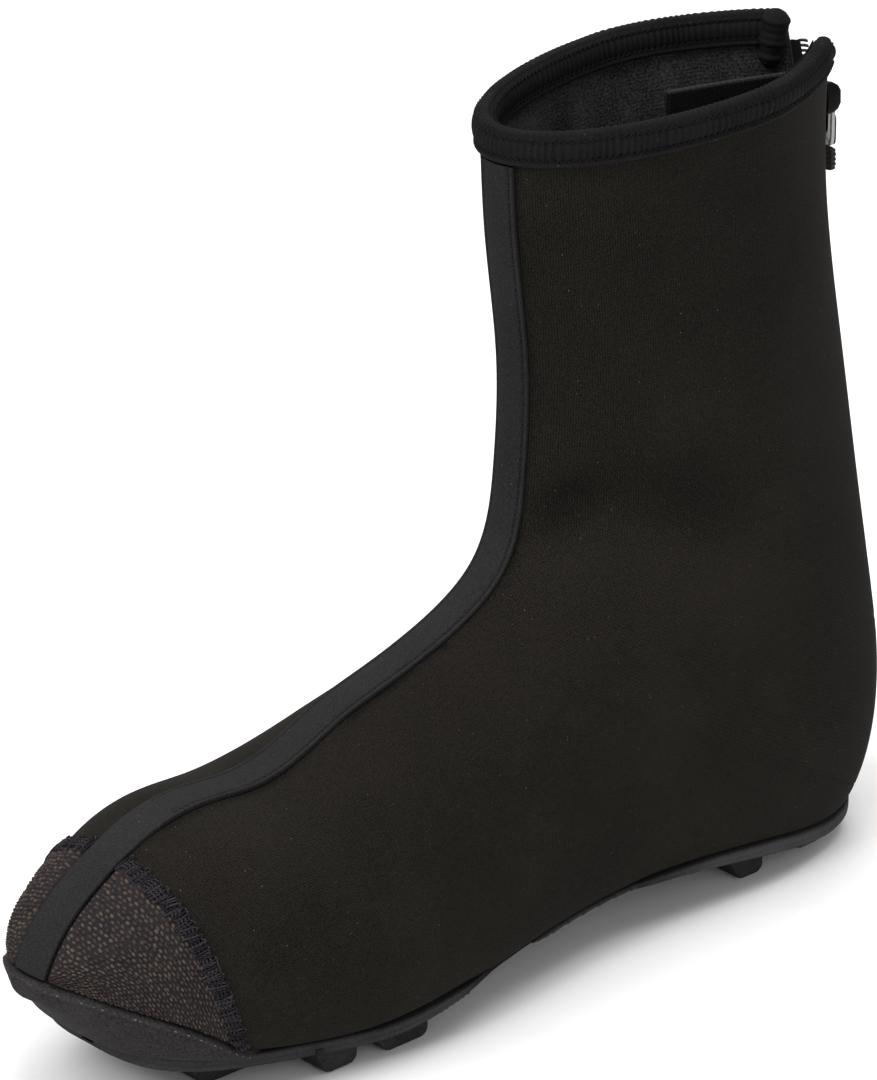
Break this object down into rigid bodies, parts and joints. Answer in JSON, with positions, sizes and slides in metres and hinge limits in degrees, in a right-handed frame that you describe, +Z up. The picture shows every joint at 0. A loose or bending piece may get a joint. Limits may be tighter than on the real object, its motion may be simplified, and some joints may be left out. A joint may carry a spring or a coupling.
{
  "type": "neoprene overshoe",
  "caption": "Ankle-high hollow overshoe of neoprene for the left foot, with a back zip, bound collar, front seam tape, toe patches, rubber toe bumper and a lugged sole.",
  "frame": {"origin": "middle of the shoe's box, on the floor plane under the lugs", "axes": "+X to the wearer's left (outer side), +Y from the toe towards the heel, +Z up"},
  "size_m": [0.0906, 0.3022, 0.2426],
  "materials": {
    "binding": "matte stretch binding",
    "seam_tape": "matte woven tape",
    "sole": "matte moulded rubber",
    "bumper": "matte napped rubber",
    "toe_patch": "rough nubby weave",
    "neoprene": "matte knit-faced foam rubber",
    "zip": "satin nylon coil on woven tape",
    "flap": "ribbed knit",
    "grip": "satin moulded rubber",
    "pull": "worn bright metal",
    "slider": "black lacquer"
  },
  "bodies": {
    "shoe": {"collar_binding": "binding", "front_tape": "seam_tape", "outsole": "sole", "toe_bumper": "bumper", "toe_patch_left": "toe_patch", "toe_patch_right": "toe_patch", "upper": "neoprene", "zip": "zip", "zip_flap": "flap", "zip_slider": "slider"},
    "zip_pull": {"zip_pull": "pull", "zip_grip": "grip"}
  },
  "joints": [
    {"name": "pull_swing", "type": "hinge", "parent": "shoe", "child": "zip_pull", "pos_m": [0.005, 0.13474, 0.21717], "axis": [1, 0, 0], "range_deg": [0, 170]}
  ]
}
